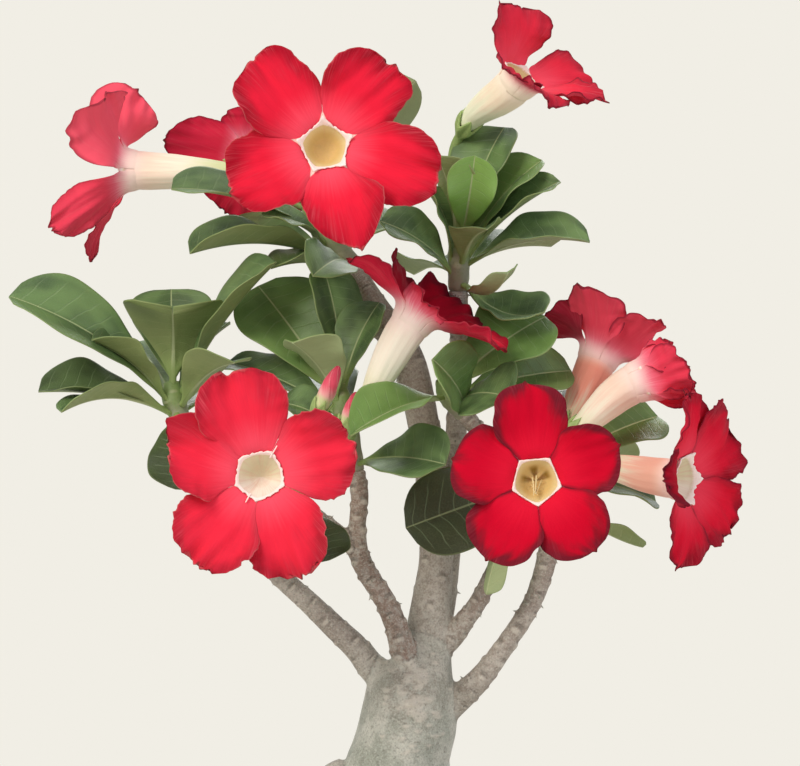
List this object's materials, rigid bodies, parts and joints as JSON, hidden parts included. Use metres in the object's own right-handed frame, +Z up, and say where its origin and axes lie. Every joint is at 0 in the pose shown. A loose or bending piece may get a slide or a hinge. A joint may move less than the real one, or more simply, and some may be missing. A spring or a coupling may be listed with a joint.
{
  "type": "potted desert rose adenium",
  "caption": "Potted desert rose: a swollen grey trunk branching into leafy shoots with large red flowers on cream tubes.",
  "frame": {"origin": "centre of the pot's flat underside, on the surface that the pot stands on", "axes": "+Z up along the pot's axis; -Y towards the side of the plant that the picture shows; +X to the right in the picture"},
  "size_m": [0.2581, 0.1665, 0.4063],
  "materials": {
    "petal_red": "velvety red petals, pink towards the throat and darker at the rims",
    "tube_cream": "matt cream flower tube, flushed pink below the mouth",
    "bud_pink": "matt deep pink, rolled in a spiral",
    "leaf_green": "waxy deep green leaves with a pale midrib, and green stems",
    "bark": "smooth grey-tan bark with rings of leaf scars",
    "soil": "loose dark potting soil with fine grit",
    "pot_clay": "matt unglazed clay"
  },
  "bodies": {
    "root": {"pot": "pot_clay", "soil": "soil", "wood": "bark", "shoot_left": "leaf_green", "shoot_top_left": "leaf_green", "shoot_top_right": "leaf_green", "shoot_middle": "leaf_green", "shoot_upright": "leaf_green", "shoot_right": "leaf_green", "shoot_lower": "leaf_green", "flower_front_top_petals": "petal_red", "flower_front_top_tube": "tube_cream", "flower_far_left_petals": "petal_red", "flower_far_left_tube": "tube_cream", "flower_top_right_petals": "petal_red", "flower_top_right_tube": "tube_cream", "flower_centre_petals": "petal_red", "flower_centre_tube": "tube_cream", "flower_front_left_petals": "petal_red", "flower_front_left_tube": "tube_cream", "flower_front_right_petals": "petal_red", "flower_front_right_tube": "tube_cream", "flower_right_back_petals": "petal_red", "flower_right_back_tube": "tube_cream", "flower_right_front_petals": "petal_red", "flower_right_front_tube": "tube_cream", "flower_far_right_petals": "petal_red", "flower_far_right_tube": "tube_cream", "flower_behind_petals": "petal_red", "flower_behind_tube": "tube_cream", "bud_large": "bud_pink", "bud_small": "bud_pink"}
  },
  "joints": []
}
